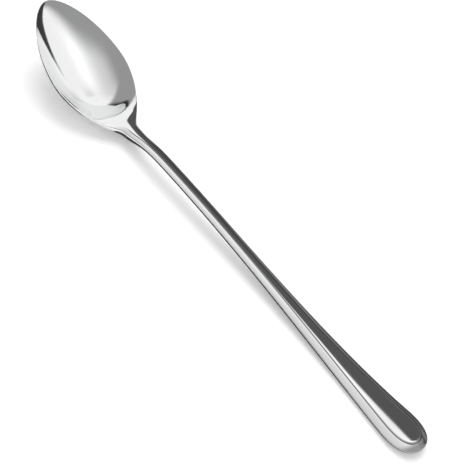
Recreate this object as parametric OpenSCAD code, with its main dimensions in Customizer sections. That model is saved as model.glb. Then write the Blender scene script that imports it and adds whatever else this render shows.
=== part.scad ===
// Iced tea spoon, bowl up, at rest on a table.
// The whole spoon is one loft of cross-sections along its length.
// Three nodes are stretches of that loft, so their end faces meet exactly.
// X runs from the handle's end to the bowl's tip, Z is up, and the table is Z = 0.

/* [Overall] */
// Length from the handle's end to the tip of the bowl
overall_length = 195; // [180:1:215]

/* [Bowl] */
// Width across the rim at the widest place
bowl_width = 30.5; // [26:0.1:34]
// Distance from the widest place to the tip
tip_length = 26.7; // [24:0.1:31]
// Distance from the widest place back to the neck
shoulder_length = 24; // [21:0.1:28]
// Distance from the neck to the place where the hollow begins
hollow_start = 1.6; // [0.5:0.1:4]
// Depth of the hollow below the rim
bowl_depth = 8.1; // [6.5:0.1:9.5]
// Metal thickness at the bottom of the bowl
bowl_wall = 1.3; // [0.9:0.1:1.8]
// Width of the rim, seen from above
rim_width = 0.5; // [0.4:0.05:1]
// Height of the rim's outer edge
rim_edge = 1; // [0.8:0.1:1.4]
// Rise of the rim from the neck to the tip
rim_rise = 14.3; // [11:0.1:17]
// Rise of the rim over the shoulder
shoulder_rise = 3.25; // [2:0.05:4]
// Length of the shoulder over which the rim turns upward
shoulder_turn = 16; // [13:0.1:19]

/* [Neck] */
// Width of the slender stem
neck_width = 4.6; // [3.8:0.1:5.4]
// Extra height of the bevel where the stem meets the bowl
neck_swell = 0.8; // [0.4:0.05:1.2]
// Softness of the inside corner between stem and bowl, seen from above
neck_fillet = 3; // [1:0.1:4]
// Length of the stem between handle and bowl
neck_length = 25; // [18:0.5:32]
// Length over which the stem opens into the bowl
flare_length = 11; // [8:0.1:14]

/* [Handle] */
// Width of the handle where its round end begins
end_width = 13.9; // [12:0.1:16]
// Length of the round end
end_length = 13.1; // [11:0.1:16]
// Length over which the handle narrows to the stem
taper_length = 120; // [105:1:124]
// Height of the thin sides below the bevel
side_height = 1.15; // [0.8:0.05:1.5]
// How far the underside swells below its edges
belly_depth = 0.45; // [0.25:0.05:0.7]
// Distance from the end to the place that rests on the table
rest_from_end = 20; // [18:0.5:32]
// How far the last bit of the handle turns up from the table
end_rise = 1.4; // [0.8:0.1:2]
// Distance from the end to the top of the handle's arch
arch_from_end = 130; // [116:1:136]
// Height of the handle's top face at the top of the arch
arch_height = 7.5; // [5.5:0.05:9]
// Radius of the lower edges
lower_radius = 0.35; // [0.2:0.05:0.6]

/* [Border] */
// Width of the bevelled border at the handle's end
border_end = 2.5; // [1.8:0.1:3]
// Width of the bevelled border at the stem
border_neck = 1.45; // [1.1:0.05:1.7]
// Height of the bevel at the handle's end
border_height = 1.2; // [0.8:0.05:1.5]
// Height of the fine step from the border up to the panel
step_height = 0.15; // [0.08:0.01:0.3]
// Width of that step
step_width = 0.2; // [0.1:0.02:0.3]
// Height of the panel's crown at the handle's end
panel_crown = 0.33; // [0.1:0.01:0.5]

/* [Hidden] */

// Places along the spoon, measured from the handle's end
widest_x = overall_length - tip_length;
neck_x = widest_x - shoulder_length;
stem_x = neck_x - neck_length;
turn_x = neck_x + shoulder_turn;
hollow_x = neck_x + hollow_start;
hollow_tip_x = overall_length - rim_width;

// Powers that set how full each curve is
end_power = 2.26;
taper_power = 2.75;
shoulder_in_power = 1.92;
shoulder_out_power = 1.3;
fillet_power = 6;
tip_in_power = 1.76;
tip_out_power = 1.79;
dish_power = 2.08;
depth_in_power = 0.72;
depth_heel_power = 3.2;
depth_tip_power = 0.82;
heel_in_power = 0.91;
heel_out_power = 1.5;
round_power = 1.3;

// Slopes of the rim as shares of its mean slope
turn_slope_share = 0.86;
tip_slope_share = 1.09;

// Places on a cross-section, as shares from the edge or the middle
band_shares = [0, 0.3, 0.62];
panel_shares = [0.9, 0.76, 0.6, 0.41, 0.21, 0];
rim_shares = [0, 0.35, 1];
dish_shares = [0.94, 0.86, 0.75, 0.62, 0.47, 0.31, 0.15, 0];
corner_shares = [0, 0.3, 1];
back_shares = [0.85, 0.68, 0.5, 0.33, 0.16, 0];
shell_shares = [1, 0.965, 0.9, 0.8, 0.67, 0.51, 0.34, 0.17, 0];

// Roundness of the border's slope at the end and at the neck, and other small shares
border_round_share = 0.22;
neck_round_share = 0.8;
edge_drop_share = 0.4;
heel_soft_share = 0.03;
corner_rise_share = 0.55;
least_hollow_share = 0.4;

// Ring counts and the first and last rings
cap_ring_shares = [0.02, 0.12, 0.35, 0.7];
tip_ring_shares = [0.65, 0.28, 0.03];
round_rings = 9;
handle_rings = 27;
neck_rings = 9;
shoulder_rings = 18;
tip_rings = 15;
rest_samples = 60;

function part01(a) = min(1, max(0, a));
function ease(a) = let (t = part01(a)) t * t * (3 - 2 * t);
function mix(a, b, t) = a + (b - a) * t;

// Cubic between two stations, each [place, height, slope]
function cubic(p, q, x) =
    let (run = q[0] - p[0], t = (x - p[0]) / run, s = t * t * (3 - 2 * t))
    mix(p[1], q[1], s) + run * t * (1 - t) * ((1 - t) * p[2] - t * q[2]);
function along(stations, x, i = 0) =
    i >= len(stations) - 2 || x <= stations[i + 1][0]
        ? cubic(stations[i], stations[i + 1], x)
        : along(stations, x, i + 1);

// Half the width of the handle, without its round end
function taper_half(x) =
    mix(neck_width / 2, end_width / 2, pow(max(0, 1 - (x - end_length) / taper_length), taper_power));

// Half the width of the outline at any place
function tip_half(x, half, run) =
    half * pow(max(0, 1 - pow(part01((x - widest_x) / run), tip_in_power)), 1 / tip_out_power);
function shoulder_curve(x) =
    bowl_width / 2 * pow(1 - pow(part01((widest_x - x) / shoulder_length), shoulder_in_power),
                         1 / shoulder_out_power);
function stem_half(x) =
    let (a = taper_half(x),
         b = shoulder_curve(x),
         soft = neck_fillet * pow(ease((x - stem_x) / neck_length), fillet_power))
    (a + b + sqrt(pow(a - b, 2) + pow(soft, 2))) / 2;
function half_width(x) =
    x < end_length ? taper_half(x) * pow(1 - pow(1 - x / end_length, end_power), 1 / end_power)
    : x < stem_x ? taper_half(x)
    : x < widest_x ? stem_half(x)
    : tip_half(x, stem_half(widest_x), tip_length);

// Half the width of the hollow, one rim inside the outline
function hollow_half(x) =
    let (outer = half_width(x),
         inner = x < widest_x ? outer - rim_width
                 : tip_half(x, stem_half(widest_x) - rim_width, tip_length - rim_width))
    max(inner, outer * least_hollow_share);

// Level of a place in plan: 1 on an outline that lies inset inside the handle's, 0 far inside it
function plan_level(x, y, inset) =
    let (half = taper_half(x) - inset)
    x >= end_length ? abs(y) / half
    : pow(pow((end_length - x) / (end_length - inset), end_power) + pow(abs(y) / half, end_power),
          1 / end_power);

// Distance from the outline in plan, measured square to it
function edge_distance(x, y) =
    x >= end_length ? half_width(x) - abs(y)
    : let (level = plan_level(x, y, 0),
           slope_x = pow((1 - x / end_length) / level, end_power - 1) / end_length,
           slope_y = pow(abs(y) / taper_half(x) / level, end_power - 1) / taper_half(x))
      (1 - level) / norm([slope_x, slope_y]);

// Border width, how round its slope is, and the half width of the panel's own outline
function border(x) = mix(border_end, border_neck, ease(x / arch_from_end));
function border_round(x) = mix(border_round_share, neck_round_share, ease(x / arch_from_end));
function panel_half(x) =
    let (inset = border(x),
         wide = half_width(x),
         cap = part01((end_length - x) / (end_length - inset)),
         line = x >= end_length ? wide - inset
                : (taper_half(x) - inset) * pow(1 - pow(cap, end_power), 1 / end_power))
    max(line, wide * least_hollow_share);

// Share of the full depth along the middle: half a sine wave, with its own fullness on each side of its peak
function dip_share(x, from, in_power, heel_power, tip_power) =
    let (m = pow(part01((x - from) / (hollow_tip_x - from)), in_power))
    pow(max(0, sin(180 * m)), m < 0.5 ? heel_power : tip_power);

// The hollow begins past the neck, and the underside swells right from it
function hollow_share(x) = dip_share(x, hollow_x, depth_in_power, depth_heel_power, depth_tip_power);
function heel_share(x) = dip_share(x, neck_x, heel_in_power, heel_out_power, heel_out_power);
function hollow_depth(x) = bowl_depth * hollow_share(x);
function shell_depth(x) =
    let (a = hollow_share(x), b = heel_share(x))
    bowl_wall + bowl_depth * (a + b + norm([a - b, heel_soft_share])) / 2;

// Rise of the rim above the neck
rim_slope = (rim_rise - shoulder_rise) / (overall_length - turn_x);
rim_stations = [
    [neck_x, 0, 0],
    [turn_x, shoulder_rise, rim_slope * turn_slope_share],
    [overall_length, rim_rise, rim_slope * tip_slope_share]
];

// The neck's height puts the lowest point of the bowl on the table
neck_height = max([for (i = [1 : rest_samples])
    let (x = mix(neck_x, hollow_tip_x, i / rest_samples))
    shell_depth(x) - along(rim_stations, x)]);
rest_height = belly_depth + side_height + bevel(rest_from_end);
handle_stations = [
    [0, rest_height + end_rise, -2 * end_rise / rest_from_end],
    [rest_from_end, rest_height, 0],
    [arch_from_end, arch_height, 0],
    [neck_x, neck_height, 0]
];
function top_height(x) =
    x < neck_x ? along(handle_stations, x) : neck_height + along(rim_stations, x);

// Height of the bevel: it follows the border's width, and swells where the stem meets the bowl
function bevel(x) =
    border_height * border(x) / border_end
    + neck_swell * ease((x - neck_x) / flare_length + 1) * (1 - ease((x - neck_x) / flare_length));

// Top of the handle: rounded border slope, fine step and crowned panel
function handle_top(x, y) =
    let (inset = border(x),
         d = edge_distance(x, y),
         outer = 1 - part01(d / inset),
         fade = 1 - ease((x - neck_x) / flare_length),
         crown = panel_crown * pow((taper_half(x) - inset) / (end_width / 2 - border_end), 2),
         step = step_height * part01((d - inset) / step_width))
    top_height(x) - bevel(x) * mix(outer, outer * outer, border_round(x))
        + (step + crown * max(0, 1 - pow(plan_level(x, y, inset), 2))) * fade;

// Half of each outline across the spoon, from its edge to its middle
function handle_top_half(x) =
    let (wide = half_width(x),
         line = panel_half(x),
         inner = line - min(step_width, line * least_hollow_share),
         ys = concat([for (s = band_shares) mix(wide, line, s)],
                     [line],
                     [inner],
                     [for (s = panel_shares) inner * s]))
    [for (y = ys) [y, handle_top(x, y)]];
function dish_top_half(x) =
    let (wide = half_width(x),
         inner = hollow_half(x),
         rim = top_height(x))
    concat([for (s = rim_shares) [mix(wide, inner, s), s > 0 ? rim : rim - rim_edge * edge_drop_share]],
           [for (s = dish_shares) [inner * s, rim - hollow_depth(x) * (1 - pow(s, dish_power))]]);
function back_level(x, y) = x < end_length ? plan_level(x, y, 0) : abs(y) / half_width(x);
function handle_back_half(x) =
    let (wide = half_width(x),
         corner = min(lower_radius, wide * least_hollow_share),
         foot = top_height(x) - bevel(x) - side_height,
         ys = concat([for (s = corner_shares) wide - corner * s],
                     [for (s = back_shares) (wide - corner) * s]))
    [for (i = [0 : len(ys) - 1])
        [ys[i], foot + (i == 0 ? corner : i == 1 ? corner * (1 - corner_rise_share) : 0)
            - belly_depth * (1 - pow(min(1, back_level(x, ys[i])), 2))]];
function dish_back_half(x) =
    let (wide = half_width(x),
         rim = top_height(x))
    [for (s = shell_shares)
        [wide * s, rim - rim_edge - (shell_depth(x) - rim_edge) * (1 - pow(s, dish_power))]];

// The stem's form gives way to the dish over the flare
function blend_half(a, b, t) = [for (i = [0 : len(a) - 1]) mix(a[i], b[i], t)];
function flare(x) = ease((x - neck_x) / flare_length);
function top_half(x) = blend_half(handle_top_half(x), dish_top_half(x), flare(x));
function back_half(x) = blend_half(handle_back_half(x), dish_back_half(x), flare(x));

// A closed ring at one place: over the top from +Y to -Y, then back underneath
function flip(points) = [for (i = [len(points) - 1 : -1 : 0]) points[i]];
function mirrored(points) = [for (p = points) [-p[0], p[1]]];
function full(half) = let (last = len(half) - 2)
    concat(half, flip(mirrored([for (i = [0 : last]) half[i]])));
function ring(x) =
    let (top = full(top_half(x)), back = flip(full(back_half(x))))
    [for (p = concat(top, back)) [x - overall_length / 2, p[0], p[1]]];

top_count = 2 * (len(band_shares) + 2 + len(panel_shares)) - 1;
back_count = 2 * (len(corner_shares) + len(back_shares)) - 1;
ring_count = top_count + back_count;

// An end face, as a strip of triangles between the top and the underside
function top_at(i) = i;
function back_at(i) = ring_count - 1 - round(i * (back_count - 1) / (top_count - 1));
function end_face() =
    [for (i = [0 : top_count - 2])
        let (a = top_at(i), b = top_at(i + 1), c = back_at(i + 1), d = back_at(i))
        each c == d ? [[a, b, d]] : [[a, b, c], [a, c, d]]];
function lifted(faces, base) = [for (f = faces) [for (k = f) k + base]];
function turned(faces) = [for (f = faces) flip(f)];

// A solid through the rings at the given places
module loft(places) {
    rings = [for (x = places) ring(x)];
    last = (len(places) - 1) * ring_count;
    walls = [for (i = [0 : len(places) - 2], k = [0 : ring_count - 1])
        let (n = (k + 1) % ring_count, a = i * ring_count, b = a + ring_count)
        each [[a + k, b + k, b + n], [a + k, b + n, a + n]]];
    faces = concat(turned(walls), turned(end_face()), lifted(end_face(), last));
    polyhedron([for (r = rings) each r], faces, convexity = 6);
}

// Places of the rings along each stretch
step_x = border_end + step_width;
handle_places = concat(
    [for (s = cap_ring_shares) border_end * s],
    [border_end, step_x],
    [for (i = [1 : round_rings]) mix(step_x, end_length, pow(i / round_rings, round_power))],
    [rest_from_end],
    [for (i = [1 : handle_rings]) mix(rest_from_end, stem_x, i / handle_rings)]);
neck_places = [for (i = [0 : neck_rings]) mix(stem_x, neck_x, i / neck_rings)];
bowl_places = concat(
    [for (i = [0 : shoulder_rings]) mix(neck_x, widest_x, i / shoulder_rings)],
    [for (i = [1 : tip_rings]) mix(widest_x, hollow_tip_x, sin(90 * i / tip_rings))],
    [for (s = tip_ring_shares) overall_length - rim_width * s]);

// The oval dish, with its rim, its shoulder and its tip
module bowl() {
    color([0.80, 0.80, 0.79]) loft(bowl_places);
}

// The slender stem between the handle and the bowl
module neck() {
    color([0.74, 0.74, 0.73]) loft(neck_places);
}

// The long handle with its bevelled border, raised panel and round end
module handle() {
    color([0.68, 0.68, 0.67]) loft(handle_places);
}

bowl();
neck();
handle();
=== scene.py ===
import math
import bpy
import numpy as np
from mathutils import Matrix, Vector


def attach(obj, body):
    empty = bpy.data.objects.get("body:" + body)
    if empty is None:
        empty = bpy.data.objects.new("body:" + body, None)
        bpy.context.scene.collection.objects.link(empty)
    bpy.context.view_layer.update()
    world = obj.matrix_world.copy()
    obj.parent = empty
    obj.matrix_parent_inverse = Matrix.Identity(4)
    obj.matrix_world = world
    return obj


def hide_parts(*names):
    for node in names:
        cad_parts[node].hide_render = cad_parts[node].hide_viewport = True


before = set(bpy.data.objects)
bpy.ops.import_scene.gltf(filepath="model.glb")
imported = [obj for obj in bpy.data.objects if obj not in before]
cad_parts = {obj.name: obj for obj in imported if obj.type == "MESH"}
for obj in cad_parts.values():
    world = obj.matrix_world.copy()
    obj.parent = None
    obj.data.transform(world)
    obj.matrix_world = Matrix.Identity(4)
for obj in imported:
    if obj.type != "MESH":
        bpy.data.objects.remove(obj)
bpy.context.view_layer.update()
print("frame loaded:", sorted(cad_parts))

# One millimetre in the frame's metres
millimetre = 0.001
# Sizes of the spoon in millimetres, measured along it from the handle's end
spoon = {
    "length": 195.0,
    "bowlWidth": 30.5,
    "tipLength": 26.7,
    "shoulderLength": 24.0,
    "hollowStart": 1.6,
    "bowlDepth": 8.1,
    "bowlWall": 1.3,
    "rimWidth": 0.2,
    "rimEdge": 1.0,
    "rimRise": 14.3,
    "shoulderRise": 3.25,
    "shoulderTurn": 16.0,
    "stemWidth": 4.6,
    "stemLength": 25.0,
    "neckSwell": 0.8,
    "neckFillet": 3.0,
    "flareLength": 11.0,
    "endWidth": 13.9,
    "endLength": 13.1,
    "taperLength": 120.0,
    "sideHeight": 1.15,
    "bellyDepth": 0.45,
    "restFromEnd": 20.0,
    "endRise": 1.4,
    "archFromEnd": 130.0,
    "archHeight": 7.5,
    "lowerRadius": 0.35,
    "borderEnd": 2.5,
    "borderStem": 1.45,
    "borderHeight": 1.2,
    "stepHeight": 0.15,
    "stepWidth": 0.16,
    "stepStop": 3.0,
    "stepShadeFar": 0.5,
    "panelCrown": 0.33,
    "panelEdge": 0.14,
    "panelEdgeRun": 0.8,
    "neckCrown": 0.4,
    "neckCrownRun": 14.0,
    "edgeRound": 0.15,
    "rimRound": 0.12,
    "rimSoftness": 0.06,
    "sideLean": 0.15,
    "tipThinStart": 9.0,
    "tipThinRun": 8.5,
}
# Powers and shares: how full each curve is, how softly the step and the rim run out, how narrow and
# how wide the hollow may be, and the rim's slopes as shares of its mean slope
curve = {
    "end": 2.26,
    "taper": 2.75,
    "shoulderIn": 1.92,
    "shoulderOut": 1.3,
    "fillet": 6.0,
    "tipIn": 1.76,
    "tipOut": 1.79,
    "dish": 2.08,
    "depthIn": 0.72,
    "depthHeel": 3.2,
    "depthTip": 0.82,
    "heelIn": 0.91,
    "heelOut": 1.5,
    "heelSoft": 0.03,
    "borderRound": 0.22,
    "stemRound": 0.45,
    "bevelThin": 1.8,
    "sideLean": 1.5,
    "stepFade": 2.0,
    "rimSink": 0.2,
    "hollowLeast": 0.4,
    "hollowMost": 1.4,
    "turnSlope": 0.86,
    "tipSlope": 1.09,
}
# Fineness of the surface: samples per millimetre along the outline, rows across it, how the rows
# crowd towards an edge, and the middle line in millimetres that the rows close on
grid = {
    "endPerMm": 2.6,
    "stemPerMm": 1.1,
    "bowlPerMm": 2.3,
    "endZone": 8.0,
    "endZoneFade": 16.0,
    "densitySoft": 3.0,
    "bandRows": 12,
    "stepRows": 7,
    "topRows": 40,
    "sideRows": 6,
    "cornerRows": 7,
    "backRows": 26,
    "bandCrowd": 1.7,
    "rimCrowd": 1.5,
    "topCrowd": 1.4,
    "cornerCrowd": 1.6,
    "cornerReach": 1.02,
    "spineCrowd": 1.3,
    "spineStart": 6.6,
    "spineEndRun": 20.0,
    "spineTipGap": 12.0,
    "rimZone": 1.2,
    "outlineSoft": 0.6,
    "heightSoft": 2.5,
    "bellReach": 4.0,
    "leastHalf": 0.05,
    "farInside": 9.0,
    "depthSamples": 601,
    "heightSamples": 3901,
    "roundSamples": 1500,
    "sideSamples": 4000,
    "loopSamples": 24000,
}

widestX = spoon["length"] - spoon["tipLength"]
neckX = widestX - spoon["shoulderLength"]
stemX = neckX - spoon["stemLength"]
hollowX = neckX + spoon["hollowStart"]
turnX = neckX + spoon["shoulderTurn"]
hollowTipX = spoon["length"] - spoon["rimWidth"]


# Smooth step: 3t^2 - 2t^3 with t held between 0 and 1
def ease(a):
    t = np.clip(a, 0.0, 1.0)
    return t * t * (3.0 - 2.0 * t)


# Straight mix from a to b by share t
def mix(a, b, t):
    return a + (b - a) * t


# Cubic through stations of place, height and slope (Hermite form)
def throughStations(x, stations):
    places, heights, slopes = (np.array(column, dtype=float) for column in zip(*stations))
    i = np.clip(np.searchsorted(places, x) - 1, 0, len(places) - 2)
    run = places[i + 1] - places[i]
    t = (x - places[i]) / run
    lean = run * t * (1.0 - t) * ((1.0 - t) * slopes[i] - t * slopes[i + 1])
    return mix(heights[i], heights[i + 1], t * t * (3.0 - 2.0 * t)) + lean


# Half width of handle and stem: stem half plus a power of the share of taper left
def taperHalf(x):
    left = np.clip(1.0 - (x - spoon["endLength"]) / spoon["taperLength"], 0.0, None)
    return mix(spoon["stemWidth"], spoon["endWidth"], left ** curve["taper"]) / 2.0


# Half width of the bowl's tip: a superellipse quarter of given half width and run
def tipHalf(x, half, run):
    t = np.clip((x - widestX) / run, 0.0, 1.0)
    return half * np.clip(1.0 - t ** curve["tipIn"], 0.0, None) ** (1.0 / curve["tipOut"])


# Half width of stem and shoulder: soft maximum of the stem's half width and a superellipse quarter,
# softer and softer towards the neck
def stemHalf(x):
    share = np.clip((widestX - x) / spoon["shoulderLength"], 0.0, 1.0)
    fullness = (1.0 - share ** curve["shoulderIn"]) ** (1.0 / curve["shoulderOut"])
    shoulder = spoon["bowlWidth"] / 2.0 * fullness
    stem = taperHalf(x)
    soft = spoon["neckFillet"] * ease((x - stemX) / spoon["stemLength"]) ** curve["fillet"]
    return (stem + shoulder + np.hypot(stem - shoulder, soft)) / 2.0


# Half width of the whole outline from the handle's end to the bowl's tip
def halfWidth(x):
    a = np.clip(1.0 - x / spoon["endLength"], 0.0, 1.0)
    cap = (1.0 - a ** curve["end"]) ** (1.0 / curve["end"])
    handle = taperHalf(x) * cap
    dish = np.where(x < widestX, stemHalf(x), tipHalf(x, stemHalf(widestX), spoon["tipLength"]))
    return np.where(x < stemX, handle, dish)


# Half width of the hollow: the outline less one rim, and never less than a share of the outline
def hollowHalf(x):
    outer = halfWidth(x)
    rim = spoon["rimWidth"]
    tip = tipHalf(x, stemHalf(widestX) - rim, spoon["tipLength"] - rim)
    return np.maximum(np.where(x < widestX, outer - rim, tip), outer * curve["hollowLeast"])


# Share of the full depth on the middle line: half a sine wave of a power of the run,
# raised to one power before its peak and to another after it
def dipShare(x, start, powerIn, powerHeel, powerTip):
    run = np.clip((x - start) / (hollowTipX - start), 0.0, 1.0) ** powerIn
    return np.clip(np.sin(np.pi * run), 0.0, None) ** np.where(run < 0.5, powerHeel, powerTip)


# Share of the hollow's depth, which begins past the neck
def hollowShare(x):
    return dipShare(x, hollowX, curve["depthIn"], curve["depthHeel"], curve["depthTip"])


# Depth of the hollow: the full depth times its share
def hollowDepth(x):
    return spoon["bowlDepth"] * hollowShare(x)


# Depth of the underside: soft maximum of the hollow's share and a longer one that starts at the neck
def shellDepth(x):
    dish = hollowShare(x)
    heel = dipShare(x, neckX, curve["heelIn"], curve["heelOut"], curve["heelOut"])
    share = (dish + heel + np.hypot(dish - heel, curve["heelSoft"])) / 2.0
    return spoon["bowlDepth"] * share + spoon["bowlWall"]


# Width of the border: an ease from the handle's end to the top of its arch
def borderWidth(x):
    return mix(spoon["borderEnd"], spoon["borderStem"], ease(x / spoon["archFromEnd"]))


# Height of the solid's bevel, which the back and the rest height use: it follows the border's width
# and swells where the stem meets the bowl
def bevelHeight(x):
    run = (x - neckX) / spoon["flareLength"]
    swell = spoon["neckSwell"] * ease(run + 1.0) * (1.0 - ease(run))
    return spoon["borderHeight"] * borderWidth(x) / spoon["borderEnd"] + swell


rimSlope = (spoon["rimRise"] - spoon["shoulderRise"]) / (spoon["length"] - turnX)
rimStations = [
    (neckX, 0.0, 0.0),
    (turnX, spoon["shoulderRise"], rimSlope * curve["turnSlope"]),
    (spoon["length"], spoon["rimRise"], rimSlope * curve["tipSlope"]),
]
along = np.linspace(neckX, hollowTipX, grid["depthSamples"])
# The neck is as high as the bowl needs to touch the table with its lowest point
neckHeight = np.max(shellDepth(along) - throughStations(along, rimStations))
restHeight = spoon["bellyDepth"] + spoon["sideHeight"] + bevelHeight(spoon["restFromEnd"])
# The end turns up as a parabola does, so its slope is twice the rise over the run
handleStations = [
    (0.0, restHeight + spoon["endRise"], -2.0 * spoon["endRise"] / spoon["restFromEnd"]),
    (spoon["restFromEnd"], restHeight, 0.0),
    (spoon["archFromEnd"], spoon["archHeight"], 0.0),
    (neckX, neckHeight, 0.0),
]
print("neck height", round(float(neckHeight), 3))


# A row of even samples blurred with a bell curve of the given width, ends continued straight
def blurred(values, step, width):
    reach = int(math.ceil(grid["bellReach"] * width / step))
    bell = np.exp(-0.5 * (np.arange(-reach, reach + 1) * step / width) ** 2)
    count = np.arange(1, reach + 1)
    before = values[0] - (values[1] - values[0]) * count[::-1]
    after = values[-1] + (values[-1] - values[-2]) * count
    return np.convolve(np.concatenate([before, values, after]), bell / bell.sum(), "valid")


topPlaces = np.linspace(0.0, spoon["length"], grid["heightSamples"])
topValues = np.where(
    topPlaces < neckX,
    throughStations(topPlaces, handleStations),
    neckHeight + throughStations(topPlaces, rimStations),
)
topValues = blurred(topValues, topPlaces[1], grid["heightSoft"])


# Height of the top face at its rim or at the inner edge of the border, from the blurred stations
def topHeight(x):
    return np.interp(x, topPlaces, topValues)


# Closed plan outline at even arc steps, blurred a little so that its curvature runs on smoothly
def closedOutline():
    quarter = np.linspace(0.0, np.pi / 2.0, grid["roundSamples"])
    capX = spoon["endLength"] * (1.0 - np.cos(quarter) ** (2.0 / curve["end"]))
    tipX = widestX + spoon["tipLength"] * np.cos(quarter[::-1]) ** (2.0 / curve["tipIn"])
    sideX = np.linspace(spoon["endLength"], widestX, grid["sideSamples"])[1:-1]
    x = np.concatenate([capX, sideX, tipX])
    y = halfWidth(x)
    y[0] = 0.0
    y[-1] = 0.0
    loopX = np.concatenate([x, x[-2:0:-1], x[:1]])
    loopY = np.concatenate([y, -y[-2:0:-1], y[:1]])
    arc = np.concatenate([[0.0], np.cumsum(np.hypot(np.diff(loopX), np.diff(loopY)))])
    even = np.linspace(0.0, arc[-1], grid["loopSamples"] + 1)[:-1]
    points = np.interp(even, arc, loopX) + 1j * np.interp(even, arc, loopY)
    waves = np.fft.fftfreq(len(even), arc[-1] / len(even)) * 2.0 * np.pi
    points = np.fft.ifft(np.fft.fft(points) * np.exp(-0.5 * (waves * grid["outlineSoft"]) ** 2))
    tangent = np.roll(points, -1) - np.roll(points, 1)
    inward = -1j * tangent / np.abs(tangent)
    return even, points, inward


# Samples of the outline: the first half by a density along it, the other half its mirror image
def outlineSamples():
    arc, points, inward = closedOutline()
    half = len(arc) // 2
    x = points.real[:half + 1]
    density = np.where(x < neckX, grid["stemPerMm"], grid["bowlPerMm"])
    nearEnd = 1.0 - ease((x - grid["endZone"]) / grid["endZoneFade"])
    density = density + (grid["endPerMm"] - grid["stemPerMm"]) * nearEnd
    density = blurred(density, arc[1], grid["densitySoft"])
    sums = np.concatenate([[0.0], np.cumsum((density[1:] + density[:-1]) / 2.0 * arc[1])])
    count = int(round(sums[-1]))
    pick = np.interp(np.linspace(0.0, sums[-1], count + 1), sums, arc[:half + 1])
    plan = np.interp(pick, arc, points.real) + 1j * np.interp(pick, arc, points.imag)
    turn = np.interp(pick, arc, inward.real) + 1j * np.interp(pick, arc, inward.imag)
    plan.imag[[0, -1]] = 0.0
    turn = turn / np.abs(turn)
    turn[0] = 1.0
    turn[-1] = -1.0
    # handle's end and bowl's tip are on the middle line; mirror what lies between them
    loop = np.concatenate([plan, np.conj(plan[-2:0:-1])])
    normal = np.concatenate([turn, np.conj(turn[-2:0:-1])])
    return loop, normal, pick, plan.real


# Middle line that the rows close on: it starts inside the round end and stops inside the tip,
# and its places there are powers of the share of the run round the end or the tip
def spinePlaces(pick, x):
    endRun = np.interp(grid["spineEndRun"], x, pick)
    tipRun = pick[-1] - np.interp(widestX, x, pick)
    endShare = np.clip(pick / endRun, 0.0, 1.0) ** grid["spineCrowd"]
    tipShare = np.clip((pick[-1] - pick) / tipRun, 0.0, 1.0) ** grid["spineCrowd"]
    endPlaces = mix(grid["spineStart"], grid["spineEndRun"], endShare)
    tipPlaces = mix(spoon["length"] - grid["spineTipGap"], widestX, tipShare)
    spine = np.where(pick < endRun, endPlaces, x)
    return np.where(pick > pick[-1] - tipRun, tipPlaces, spine)


# Drop below a sharp edge of a round of radius r at distance d from it
def roundDrop(d, r):
    return r - np.sqrt(np.clip(r * r - np.clip(r - d, 0.0, r) ** 2, 0.0, None))


# Level of a place in plan: 1 on an outline that lies inset inside the spoon's, 0 far inside it
def planLevel(x, y, inset):
    half = np.maximum(np.where(x < stemX, taperHalf(x), halfWidth(x)) - inset, grid["leastHalf"])
    a = np.clip((spoon["endLength"] - x) / (spoon["endLength"] - inset), 0.0, None)
    return (a ** curve["end"] + (np.abs(y) / half) ** curve["end"]) ** (1.0 / curve["end"])


# How much of the step is left: all of it on the handle, easing to none as it passes the neck
def stepLeft(x):
    return 1.0 - ease((x - neckX + spoon["stepStop"]) / (2.0 * spoon["stepStop"]))


# Top of the handle: a rounded border slope, a fine step and a panel. The panel's crown and the fall
# at its edge grow as its width squared, and a second crown rises over the end of the stem.
def handleTop(x, y, d):
    inset = borderWidth(x)
    half = taperHalf(x) - inset
    wide = (half / (spoon["endWidth"] / 2.0 - spoon["borderEnd"])) ** 2
    dome = spoon["panelCrown"] * wide * np.clip(1.0 - planLevel(x, y, inset) ** 2, 0.0, None)
    neck = spoon["neckCrown"] * ease((x - neckX + spoon["neckCrownRun"]) / spoon["neckCrownRun"])
    dome = dome + neck * np.clip(1.0 - (y / halfWidth(x)) ** 2, 0.0, None)
    left = stepLeft(x)
    step = spoon["stepHeight"] * ease((d - inset) / spoon["stepWidth"]) * left
    inner = np.clip((d - inset - spoon["stepWidth"]) / spoon["panelEdgeRun"], 0.0, 1.0)
    fall = spoon["panelEdge"] * wide * (1.0 - inner) ** 2 * left
    w = 1.0 - np.clip(d / inset, 0.0, 1.0)
    bend = mix(curve["borderRound"], curve["stemRound"], ease(x / spoon["archFromEnd"]))
    bevel = spoon["borderHeight"] * (inset / spoon["borderEnd"]) ** curve["bevelThin"]
    slope = bevel * mix(w, w * w, bend)
    return topHeight(x) - slope + step + dome - fall - roundDrop(d, spoon["edgeRound"])


# Top of the bowl: rim height less a softened maximum of the dish depth and zero, with a rounded
# outer edge. The depth falls off across the hollow as a power of the share of its half width.
def dishTop(x, y, d):
    share = np.abs(y) / np.maximum(hollowHalf(x), grid["leastHalf"])
    share = np.clip(share, 0.0, curve["hollowMost"])
    depth = hollowDepth(x) * (1.0 - share ** curve["dish"])
    soft = spoon["rimSoftness"]
    sink = (depth + np.sqrt(depth * depth + soft * soft) - soft * curve["rimSink"]) / 2.0
    return topHeight(x) - sink - roundDrop(d, spoon["rimRound"])


# Underside of the handle: one side height below the bevel, with rounded corners and a swollen middle
def handleBack(x, y, d):
    belly = spoon["bellyDepth"] * np.clip(1.0 - planLevel(x, y, 0.0) ** 2, 0.0, 1.0)
    lowEdge = topHeight(x) - bevelHeight(x) - spoon["sideHeight"]
    return lowEdge + roundDrop(d, spoon["lowerRadius"]) - belly


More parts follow.
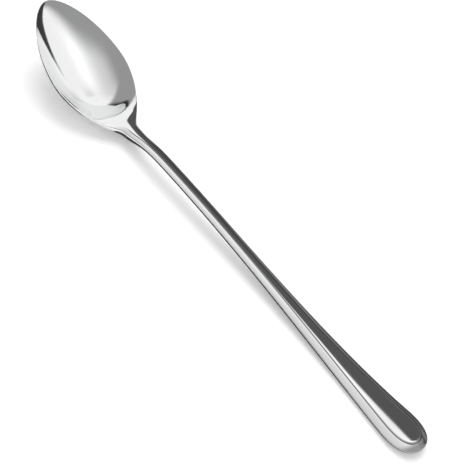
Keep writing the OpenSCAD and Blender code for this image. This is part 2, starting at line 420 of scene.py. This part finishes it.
# Underside of the bowl: a deeper dish that closes on the rim's lower edge, with a wall that eases
# to the rim's own near the tip
def dishBack(x, y, d):
    across = np.clip(np.abs(y) / np.maximum(halfWidth(x), grid["leastHalf"]), 0.0, 1.0)
    thin = ease((x - spoon["length"] + spoon["tipThinStart"]) / spoon["tipThinRun"])
    wall = (spoon["bowlWall"] - spoon["rimEdge"]) * (1.0 - thin)
    below = (shellDepth(x) - spoon["bowlWall"] + wall) * (1.0 - across ** curve["dish"])
    return topHeight(x) - spoon["rimEdge"] - below + roundDrop(d, spoon["rimRound"])


# Share of the way from the handle's section to the bowl's: an ease over the flare past the neck
def flareShare(x):
    return ease((x - neckX) / spoon["flareLength"])


# Height of the top face: the handle's mixed into the bowl's over the flare
def topFaceHeight(x, y, d):
    return mix(handleTop(x, y, d), dishTop(x, y, d), flareShare(x))


# Height of the back face, mixed the same way
def backFaceHeight(x, y, d):
    return mix(handleBack(x, y, d), dishBack(x, y, d), flareShare(x))


# Top face: rows set in from the outline over the border and the step, or over the bowl's rim zone,
# then rows that run in straight shares to the middle line; gives plan, height and distance in
def topFace(loop, normal, spineLoop):
    inset = borderWidth(loop.real)
    bandShares = np.linspace(0.0, 1.0, grid["bandRows"], endpoint=False) ** grid["bandCrowd"]
    stepShares = np.linspace(0.0, 1.0, grid["stepRows"])
    handleRows = np.concatenate([
        bandShares[:, None] * inset,
        inset + stepShares[:, None] * spoon["stepWidth"],
    ])
    rimShares = np.linspace(0.0, 1.0, len(handleRows)) ** grid["rimCrowd"]
    rimRows = np.repeat(rimShares[:, None] * grid["rimZone"], len(loop), axis=1)
    bandRows = mix(handleRows, rimRows, flareShare(loop.real))
    band = loop + normal * bandRows
    shares = np.linspace(0.0, 1.0, grid["topRows"] + 1)[1:-1] ** grid["topCrowd"]
    inner = mix(band[-1], spineLoop, shares[:, None])
    plan = np.concatenate([band, inner])
    distance = np.concatenate([bandRows, bandRows[-1] + np.abs(inner - band[-1])])
    return plan, topFaceHeight(plan.real, plan.imag, distance), distance


# Back face: rows over the round of the lower corner, then straight shares to the middle line
def backFace(loop, normal, spineLoop):
    radius = mix(spoon["lowerRadius"], spoon["rimRound"], flareShare(loop.real))
    cornerShares = np.linspace(0.0, 1.0, grid["cornerRows"]) ** grid["cornerCrowd"]
    cornerRows = cornerShares[:, None] * radius * grid["cornerReach"]
    band = loop + normal * (cornerRows + spoon["sideLean"])
    shares = np.linspace(0.0, 1.0, grid["backRows"] + 1)[1:-1]
    inner = mix(band[-1], spineLoop, shares[:, None])
    plan = np.concatenate([band, inner])
    distance = np.concatenate([cornerRows, np.full(inner.shape, grid["farInside"])])
    return plan, backFaceHeight(plan.real, plan.imag, distance)


# Step masks, one value a vertex, for painted shade in the step's inner corner:
# a bell curve of the distance past the border, on the near side and on the far side
def stepShadeMaskValues(plan, distance, total):
    isFar = plan.imag < 0.0
    width = np.where(isFar, spoon["stepShadeFar"], spoon["stepWidth"])
    off = (distance - borderWidth(plan.real)) / width
    cut = np.exp(-curve["stepFade"] * off * off) * stepLeft(plan.real)
    rest = np.zeros(total - cut.size)
    near = np.concatenate([np.where(isFar, 0.0, cut)[::-1].ravel(), rest])
    far = np.concatenate([np.where(isFar, cut, 0.0)[::-1].ravel(), rest])
    return {"stepPaintedShadeNear": near, "stepPaintedShadeFar": far}


# Quads between neighbouring rows, and two fans of quads that close the outer rows on the middle lines
def surfaceQuads(rows, count, fold, spineCount):
    here = np.arange(count)
    after = (here + 1) % count
    base = np.arange(rows - 1)[:, None] * count
    below = base + count
    walls = np.stack([base + here, below + here, below + after, base + after], axis=-1)
    topLine = rows * count + fold
    backLine = topLine + spineCount
    topFan = np.stack([topLine[here], here, after, topLine[after]], axis=-1)
    low = (rows - 1) * count
    backFan = np.stack([low + here, backLine[here], backLine[after], low + after], axis=-1)
    return np.concatenate([walls.reshape(-1, 4), topFan, backFan])


# Whole spoon: rows of closed loops from the top's middle line over the edge to the back's middle line
def spoonSurface():
    loop, normal, pick, halfX = outlineSamples()
    last = len(halfX) - 1
    spine = spinePlaces(pick, halfX)
    fold = np.concatenate([np.arange(last + 1), np.arange(last - 1, 0, -1)])
    topPlan, topZ, topDistance = topFace(loop, normal, spine[fold])
    backPlan, backZ = backFace(loop, normal, spine[fold])

    # the side leans inwards as a power of the share of the way down
    sideShares = np.linspace(0.0, 1.0, grid["sideRows"] + 1)[1:-1, None]
    sidePlan = loop + normal * spoon["sideLean"] * sideShares ** curve["sideLean"]
    sideZ = mix(topZ[0], backZ[0], sideShares)

    plan = np.concatenate([topPlan[::-1], sidePlan, backPlan])
    height = np.concatenate([topZ[::-1], sideZ, backZ])
    zero = np.zeros_like(spine)
    inside = np.full_like(spine, grid["farInside"])
    points = np.concatenate([
        np.stack([plan.real, plan.imag, height], axis=-1).reshape(-1, 3),
        np.stack([spine, zero, topFaceHeight(spine, zero, inside)], axis=-1),
        np.stack([spine, zero, backFaceHeight(spine, zero, inside)], axis=-1),
    ])
    masks = stepShadeMaskValues(topPlan, topDistance, len(points))
    quads = surfaceQuads(len(plan), len(loop), fold, len(spine))
    points = points - np.array([spoon["length"] / 2.0, 0.0, 0.0])
    return points * millimetre, quads, masks


# A mesh object from points and quads, smooth shaded, turned outwards by the sign of its volume
def meshPiece(name, points, quads):
    a, b, c, d = (points[quads[:, k]] for k in range(4))
    volume = np.sum(np.cross(a, b) * c + np.cross(a, c) * d)
    if volume < 0.0:
        quads = quads[:, ::-1]
    mesh = bpy.data.meshes.new(name)
    mesh.vertices.add(len(points))
    mesh.vertices.foreach_set("co", points.astype(np.float32).ravel())
    mesh.loops.add(quads.size)
    mesh.loops.foreach_set("vertex_index", quads.astype(np.int32).ravel())
    mesh.polygons.add(len(quads))
    mesh.polygons.foreach_set("loop_start", np.arange(0, quads.size, 4, dtype=np.int32))
    mesh.polygons.foreach_set("loop_total", np.full(len(quads), 4, dtype=np.int32))
    mesh.polygons.foreach_set("use_smooth", np.ones(len(quads), dtype=bool))
    mesh.update(calc_edges=True)
    mesh.validate()
    piece = bpy.data.objects.new(name, mesh)
    bpy.context.collection.objects.link(piece)
    return piece


points, quads, stepShadeMasks = spoonSurface()
spoonPiece = meshPiece("spoon_polished", points, quads)
for maskName, mask in stepShadeMasks.items():
    maskLayer = spoonPiece.data.attributes.new(maskName, "FLOAT", "POINT")
    maskLayer.data.foreach_set("value", mask.astype(np.float32))
print("spoon surface:", len(points), "points,", 2 * len(quads), "triangles")


# One math node on two values, sockets or plain numbers
def math2(tree, operation, a, b):
    node = tree.nodes.new("ShaderNodeMath")
    node.operation = operation
    for slot, value in enumerate((a, b)):
        if isinstance(value, (int, float)):
            node.inputs[slot].default_value = value
        else:
            tree.links.new(value, node.inputs[slot])
    return node.outputs[0]


# Smooth step of a socket between two places
def smoothBetween(tree, socket, low, high):
    node = tree.nodes.new("ShaderNodeMapRange")
    node.interpolation_type = "SMOOTHSTEP"
    node.inputs["From Min"].default_value = low
    node.inputs["From Max"].default_value = high
    tree.links.new(socket, node.inputs["Value"])
    return node.outputs["Result"]


# Value of a mesh attribute at the place that is shaded
def pointValue(tree, name):
    node = tree.nodes.new("ShaderNodeAttribute")
    node.attribute_name = name
    return node.outputs["Fac"]


# Polished steel: its tones, the painted shade of the step's corner, how smooth it is, and the marks that
# polishing and use leave
steel = {
    "bright": (0.895, 0.905, 0.90, 1.0),
    "warm": (0.865, 0.87, 0.865, 1.0),
    # step and stepShade are painted shade for the step's inner corner, on the near side and on the far
    # side
    "step": (0.16, 0.16, 0.155, 1.0),
    "stepShade": (0.34, 0.34, 0.33, 1.0),
    "stepLimits": (0.25, 0.8),
    "smooth": 0.045,
    "rubbed": 0.085,
    "stepRough": 0.32,
    "patchScale": (45.0, 90.0, 90.0),
    "patchDetail": 3.0,
    "patchLimits": (0.35, 0.68),
    "lineScale": (40.0, 5200.0, 5200.0),
    "lineDetail": 2.0,
    "lineStrength": 0.035,
    "lineHeight": 0.00004,
    "scratchScale": (900.0, 26.0, 900.0),
    "scratchDetail": 1.0,
    "scratchLimits": (0.70, 0.76),
    "scratchTurn": 0.9,
}


# Noise on Object coordinates, stretched by a scale and turned about Z
def stretchedNoise(tree, scale, turn, detail):
    place = tree.nodes.new("ShaderNodeTexCoord")
    mapping = tree.nodes.new("ShaderNodeMapping")
    mapping.inputs["Rotation"].default_value = (0.0, 0.0, turn)
    mapping.inputs["Scale"].default_value = scale
    noise = tree.nodes.new("ShaderNodeTexNoise")
    noise.inputs["Scale"].default_value = 1.0
    noise.inputs["Detail"].default_value = detail
    tree.links.new(place.outputs["Object"], mapping.inputs["Vector"])
    tree.links.new(mapping.outputs[0], noise.inputs["Vector"])
    return noise.outputs["Fac"]


# Mix of two colours, or of two values, by a share socket
def mixNode(tree, kind, share, a, b):
    node = tree.nodes.new("ShaderNodeMix")
    node.data_type = kind
    offset = {"FLOAT": 2, "RGBA": 6}[kind]
    tree.links.new(share, node.inputs[0])
    for slot, value in ((offset, a), (offset + 1, b)):
        if hasattr(value, "is_linked"):
            tree.links.new(value, node.inputs[slot])
        else:
            node.inputs[slot].default_value = value
    return node.outputs[{"FLOAT": 0, "RGBA": 2}[kind]]


# Steel: a mirror with soft patches, fine polishing lines along it and a few scratches across it.
# The step masks darken it with painted shade in the step's inner corner, and roughen it on the near side.
def steelMaterial():
    material = bpy.data.materials.new("polished_steel")
    material.use_nodes = True
    tree = material.node_tree
    shader = tree.nodes["Principled BSDF"]
    shader.inputs["Metallic"].default_value = 1.0
    patches = stretchedNoise(tree, steel["patchScale"], 0.0, steel["patchDetail"])
    patches = smoothBetween(tree, patches, *steel["patchLimits"])
    lines = stretchedNoise(tree, steel["lineScale"], 0.0, steel["lineDetail"])
    scratches = stretchedNoise(tree, steel["scratchScale"], steel["scratchTurn"], steel["scratchDetail"])
    scratches = smoothBetween(tree, scratches, *steel["scratchLimits"])
    inStepShade = {}
    for maskName in stepShadeMasks:
        mask = pointValue(tree, maskName)
        inStepShade[maskName] = smoothBetween(tree, mask, *steel["stepLimits"])

    color = mixNode(tree, "RGBA", patches, steel["bright"], steel["warm"])
    # painted shade in the step's inner corner, darker on the near side than on the far side
    color = mixNode(tree, "RGBA", inStepShade["stepPaintedShadeNear"], color, steel["step"])
    color = mixNode(tree, "RGBA", inStepShade["stepPaintedShadeFar"], color, steel["stepShade"])
    tree.links.new(color, shader.inputs["Base Color"])
    rubbed = math2(tree, "MAXIMUM", patches, scratches)
    rough = mixNode(tree, "FLOAT", rubbed, steel["smooth"], steel["rubbed"])
    rough = mixNode(tree, "FLOAT", inStepShade["stepPaintedShadeNear"], rough, steel["stepRough"])
    tree.links.new(rough, shader.inputs["Roughness"])
    bump = tree.nodes.new("ShaderNodeBump")
    bump.inputs["Strength"].default_value = steel["lineStrength"]
    bump.inputs["Distance"].default_value = steel["lineHeight"]
    tree.links.new(math2(tree, "SUBTRACT", lines, scratches), bump.inputs["Height"])
    tree.links.new(bump.outputs[0], shader.inputs["Normal"])
    return material


spoonPiece.data.materials.append(steelMaterial())
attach(spoonPiece, "root")
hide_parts("bowl", "neck", "handle")
print("steel ready")

# Camera: fitted to the outline in the picture, angles in degrees and lengths in metres
view = {
    "elevation": 49.97,
    "azimuth": 22.88,
    "roll": 29.01,
    "target": (-0.00684, -0.00177, 0.005),
    "distance": 0.400,
    "lens": 91.55,
    "sensor": 36.0,
    "nearest": 0.01,
}


# Camera on a sphere round its target: elevation and azimuth place it, and roll turns it about its axis
def addCamera():
    e = math.radians(view["elevation"])
    a = math.radians(view["azimuth"])
    r = math.radians(view["roll"])
    back = Vector((-math.sin(a) * math.cos(e), math.cos(a) * math.cos(e), math.sin(e)))
    level = (-back).cross(Vector((0.0, 0.0, 1.0))).normalized()
    rise = level.cross(-back)
    right = level * math.cos(r) + rise * math.sin(r)
    up = rise * math.cos(r) - level * math.sin(r)
    data = bpy.data.cameras.new("camera")
    data.sensor_width = view["sensor"]
    data.lens = view["lens"]
    data.clip_start = view["nearest"]
    camera = bpy.data.objects.new("camera", data)
    place = Vector(view["target"]) + back * view["distance"]
    turn = Matrix((right, up, back)).transposed().to_4x4()
    camera.matrix_world = Matrix.Translation(place) @ turn
    bpy.context.collection.objects.link(camera)
    bpy.context.scene.camera = camera


addCamera()
print("camera ready")

# Studio in metres: a white floor, a wide soft ceiling light in grey cloth, and dark flags that the
# metal shows
studio = {
    "floorSize": 4.0,
    "floorColor": (0.92, 0.92, 0.92, 1.0),
    "floorRough": 0.9,
    "floorLift": 0.29,
    "fill": 0.56,
    "ceilingHeight": 0.5,
    "ceilingSize": 2.2,
    "cloth": 0.335,
    "glowX": (-0.235, 0.58),
    "glowSlant": (-0.3, 0.75),
    "glowXSoft": 0.085,
    "glowY": (-1.75, 0.31),
    "glowYSoft": 0.15,
    "glowFar": 0.66,
    "glowNear": 0.36,
    "glowTurn": (-0.22, 0.22),
    "spotPlace": (-0.137, -0.15),
    "spotSize": (0.13, 0.13),
    "spotGlow": 0.22,
    "seamPlace": (0.05, -0.33),
    "seamSize": (0.05, 0.12),
    "seamDip": 0.22,
    "sheenPlace": 0.17,
    "sheenWidth": 0.05,
    "keyPlace": (0.3, -0.26, 0.6),
    "keySize": 0.6,
    "keyPower": 3.2,
}
# Dark flags: foot points, each with the height of the top edge over it and how thick the cloth is
# there. The far ones are darker, and the one by the handle has a lighter band of sheen near its foot.
flags = {
    "handle_flag": {
        "stations": [
            (-0.160, -0.055, 0.080, 0.0),
            (-0.138, -0.052, 0.081, 0.3),
            (-0.115, -0.048, 0.083, 0.8),
            (-0.100, -0.045, 0.084, 1.0),
            (-0.079, -0.041, 0.085, 1.0),
            (-0.040, -0.034, 0.072, 1.0),
            (0.000, -0.027, 0.058, 1.0),
            (0.030, -0.020, 0.046, 1.0),
            (0.046, -0.015, 0.037, 1.0),
            (0.056, -0.012, 0.026, 1.0),
        ],
        "tone": 0.092,
        "soft": 0.16,
        "sheen": 0.12,
    },
    "heel_flag": {
        "stations": [(0.300, -0.115, 0.165, 1.0), (0.300, 0.050, 0.165, 1.0)],
        "tone": 0.03,
        "soft": 0.25,
        "sheen": 0.0,
    },
    "far_flag": {
        "stations": [
            (-0.460, -0.600, 0.430, 1.0),
            (-0.400, -0.600, 0.390, 1.0),
            (-0.220, -0.600, 0.300, 1.0),
            (-0.090, -0.600, 0.210, 1.0),
            (0.000, -0.600, 0.170, 1.0),
            (0.080, -0.600, 0.110, 1.0),
            (0.120, -0.600, 0.050, 1.0),
        ],
        "tone": 0.045,
        "soft": 0.08,
        "sheen": 0.0,
    },
}
# Painted shade on the floor: a dark strip under the spoon's edges that only the metal shows, standing in
# for the shade beneath it; place along the spoon, and its far and near edges
floorShadeCard = {
    "stations": [
        (-0.165, -0.056, -0.002),
        (-0.103, -0.046, 0.004),
        (-0.098, -0.045, 0.008),
        (-0.085, -0.042, 0.012),
        (-0.060, -0.038, 0.010),
        (0.000, -0.027, 0.007),
        (0.050, -0.018, 0.006),
        (0.060, -0.020, 0.016),
        (0.072, -0.024, 0.023),
        (0.085, -0.024, 0.024),
        (0.099, -0.020, 0.014),
    ],
    "height": 0.0001,
    "tone": 0.06,
}


# Value that is 1 for rays that see the background: camera, mirror and see-through rays
def backgroundRays(tree):
    path = tree.nodes.new("ShaderNodeLightPath")
    total = path.outputs["Is Camera Ray"]
    for other in ("Is Glossy Ray", "Is Transmission Ray"):
        total = math2(tree, "MAXIMUM", total, path.outputs[other])
    return total


# Card material that only glows, at a strength set by its maker
def emissionMaterial(name):
    material = bpy.data.materials.new(name)
    material.use_nodes = True
    tree = material.node_tree
    tree.nodes.clear()
    output = tree.nodes.new("ShaderNodeOutputMaterial")
    glow = tree.nodes.new("ShaderNodeEmission")
    tree.links.new(glow.outputs[0], output.inputs["Surface"])
    return material, tree, glow


# Studio cards show only in the metal: every kind of ray but a mirror's passes them by
def hideFromAllButMirrors(card):
    card.visible_camera = False
    card.visible_diffuse = False
    card.visible_shadow = False
    card.visible_transmission = False
    card.visible_volume_scatter = False


# Level square of a half size at a height, its four corners in turn
def levelSquare(name, s, z):
    corners = np.array([[-s, -s, z], [s, -s, z], [s, s, z], [-s, s, z]])
    return meshPiece(name, corners, np.array([[0, 1, 2, 3]]))


# Floor: a matt white that keeps the shadow, lifted by a little glow for rays that see the background
def addFloor():
    floor = levelSquare("floor", studio["floorSize"], 0.0)
    material = bpy.data.materials.new("floor_white")
    material.use_nodes = True
    tree = material.node_tree
    shader = tree.nodes["Principled BSDF"]
    shader.inputs["Base Color"].default_value = studio["floorColor"]
    shader.inputs["Roughness"].default_value = studio["floorRough"]
    shader.inputs["Specular IOR Level"].default_value = 0.0
    lift = tree.nodes.new("ShaderNodeEmission")
    strength = math2(tree, "MULTIPLY", backgroundRays(tree), studio["floorLift"])
    tree.links.new(strength, lift.inputs["Strength"])
    both = tree.nodes.new("ShaderNodeAddShader")
    tree.links.new(shader.outputs[0], both.inputs[0])
    tree.links.new(lift.outputs[0], both.inputs[1])
    tree.links.new(both.outputs[0], tree.nodes["Material Output"].inputs["Surface"])
    floor.data.materials.append(material)


# World: white for rays that see the background, and a plain fill for the rest
def addWorld():
    world = bpy.data.worlds.new("studio")
    world.use_nodes = True
    tree = world.node_tree
    back = tree.nodes["Background"]
    back.inputs["Color"].default_value = (1.0, 1.0, 1.0, 1.0)
    seen = math2(tree, "MULTIPLY", backgroundRays(tree), 1.0 - studio["fill"])
    tree.links.new(math2(tree, "ADD", seen, studio["fill"]), back.inputs["Strength"])
    bpy.context.scene.world = world


# Bell curve of a socket around a place: 1 there, falling off by the width
def bellAround(tree, socket, place, width):
    off = math2(tree, "DIVIDE", math2(tree, "SUBTRACT", socket, place), width)
    power = math2(tree, "MULTIPLY", math2(tree, "MULTIPLY", off, off), -0.5)
    return math2(tree, "POWER", math.e, power)


# Product of two bell curves, along X and along Y
def patchAround(tree, x, y, place, size):
    alongX = bellAround(tree, x, place[0], size[0])
    alongY = bellAround(tree, y, place[1], size[1])
    return math2(tree, "MULTIPLY", alongX, alongY)


# Band that is 1 between two limits and eases to 0 past them; each limit has its own socket
def softBand(tree, lowSide, highSide, limits, soft):
    low, high = limits
    rising = smoothBetween(tree, lowSide, low - soft, low + soft)
    past = smoothBetween(tree, highSide, high - soft, high + soft)
    return math2(tree, "MULTIPLY", rising, math2(tree, "SUBTRACT", 1.0, past))


# Ceiling: grey cloth with a bright soft field between slanted sides, brighter far off, with one
# bright spot and a dim seam
def addCeiling():
    card = levelSquare("ceiling_card", studio["ceilingSize"], studio["ceilingHeight"])
    material, tree, glow = emissionMaterial("ceiling_light")
    place = tree.nodes.new("ShaderNodeTexCoord")
    split = tree.nodes.new("ShaderNodeSeparateXYZ")
    tree.links.new(place.outputs["Object"], split.inputs[0])
    x = split.outputs["X"]
    y = split.outputs["Y"]
    lowSide, highSide = (
        math2(tree, "ADD", x, math2(tree, "MULTIPLY", y, lean)) for lean in studio["glowSlant"]
    )
    alongX = softBand(tree, lowSide, highSide, studio["glowX"], studio["glowXSoft"])
    alongY = softBand(tree, y, y, studio["glowY"], studio["glowYSoft"])
    inside = math2(tree, "MULTIPLY", alongX, alongY)
    near = smoothBetween(tree, y, *studio["glowTurn"])
    level = math2(tree, "MULTIPLY", near, studio["glowNear"] - studio["glowFar"])
    level = math2(tree, "ADD", level, studio["glowFar"])
    spot = patchAround(tree, x, y, studio["spotPlace"], studio["spotSize"])
    seam = patchAround(tree, x, y, studio["seamPlace"], studio["seamSize"])
    level = math2(tree, "ADD", level, math2(tree, "MULTIPLY", spot, studio["spotGlow"]))
    level = math2(tree, "SUBTRACT", level, math2(tree, "MULTIPLY", seam, studio["seamDip"]))
    level = math2(tree, "MULTIPLY", level, inside)
    tree.links.new(math2(tree, "ADD", level, studio["cloth"]), glow.inputs["Strength"])
    card.data.materials.append(material)
    hideFromAllButMirrors(card)


# Strip of quads between two rows of points: its rise is 0 on the first row and 1 on the second
def stripCard(name, first, second, thick):
    points = np.concatenate([first, second])
    count = len(first)
    here = np.arange(count - 1)
    quads = np.stack([here, here + 1, here + 1 + count, here + count], axis=-1)
    card = meshPiece(name, points, quads)
    rise = card.data.attributes.new("rise", "FLOAT", "POINT")
    rise.data.foreach_set("value", np.repeat(np.array([0.0, 1.0], dtype=np.float32), count))
    cloth = card.data.attributes.new("thick", "FLOAT", "POINT")
    cloth.data.foreach_set("value", np.tile(np.asarray(thick, dtype=np.float32), 2))
    return card


# Flag: a dark upright card along its foot points, with a band of sheen, thinning out towards its top edge
def addFlag(name, flag):
    stations = np.array(flag["stations"])
    top = stations[:, :3]
    foot = top * np.array([1.0, 1.0, 0.0])
    card = stripCard(name, foot, top, stations[:, 3])
    material, tree, glow = emissionMaterial(name + "_cloth")
    rise = pointValue(tree, "rise")
    band = bellAround(tree, rise, studio["sheenPlace"], studio["sheenWidth"])
    sheen = math2(tree, "MULTIPLY", band, flag["sheen"])
    tree.links.new(math2(tree, "ADD", sheen, flag["tone"]), glow.inputs["Strength"])
    thinning = smoothBetween(tree, rise, 1.0 - flag["soft"], 1.0)
    below = math2(tree, "SUBTRACT", 1.0, thinning)
    clear = tree.nodes.new("ShaderNodeBsdfTransparent")
    both = tree.nodes.new("ShaderNodeMixShader")
    tree.links.new(math2(tree, "MULTIPLY", below, pointValue(tree, "thick")), both.inputs[0])
    tree.links.new(clear.outputs[0], both.inputs[1])
    tree.links.new(glow.outputs[0], both.inputs[2])
    tree.links.new(both.outputs[0], tree.nodes["Material Output"].inputs["Surface"])
    card.data.materials.append(material)
    hideFromAllButMirrors(card)


# Floor shade card: a dark strip of painted shade that lies on the floor between its far and near edges
def addFloorShadeCard():
    stations = np.array(floorShadeCard["stations"])
    level = np.full(len(stations), floorShadeCard["height"])
    far = np.stack([stations[:, 0], stations[:, 1], level], axis=-1)
    near = np.stack([stations[:, 0], stations[:, 2], level], axis=-1)
    card = stripCard("floor_shade_card", far, near, np.ones(len(stations)))
    material, tree, glow = emissionMaterial("floor_shade_card")
    glow.inputs["Strength"].default_value = floorShadeCard["tone"]
    card.data.materials.append(material)
    hideFromAllButMirrors(card)


# Key: a square lamp that looks at the origin and does not show in the metal
def addKey():
    data = bpy.data.lights.new("key", "AREA")
    data.shape = "SQUARE"
    data.size = studio["keySize"]
    data.energy = studio["keyPower"]
    lamp = bpy.data.objects.new("key", data)
    place = Vector(studio["keyPlace"])
    lamp.rotation_euler = (-place).to_track_quat("-Z", "Y").to_euler()
    lamp.location = place
    lamp.visible_glossy = False
    bpy.context.collection.objects.link(lamp)


addFloor()
addWorld()
addCeiling()
for flagName, flag in flags.items():
    addFlag(flagName, flag)
addFloorShadeCard()
addKey()
print("studio ready")

bpy.context.scene.view_settings.view_transform = "Standard"
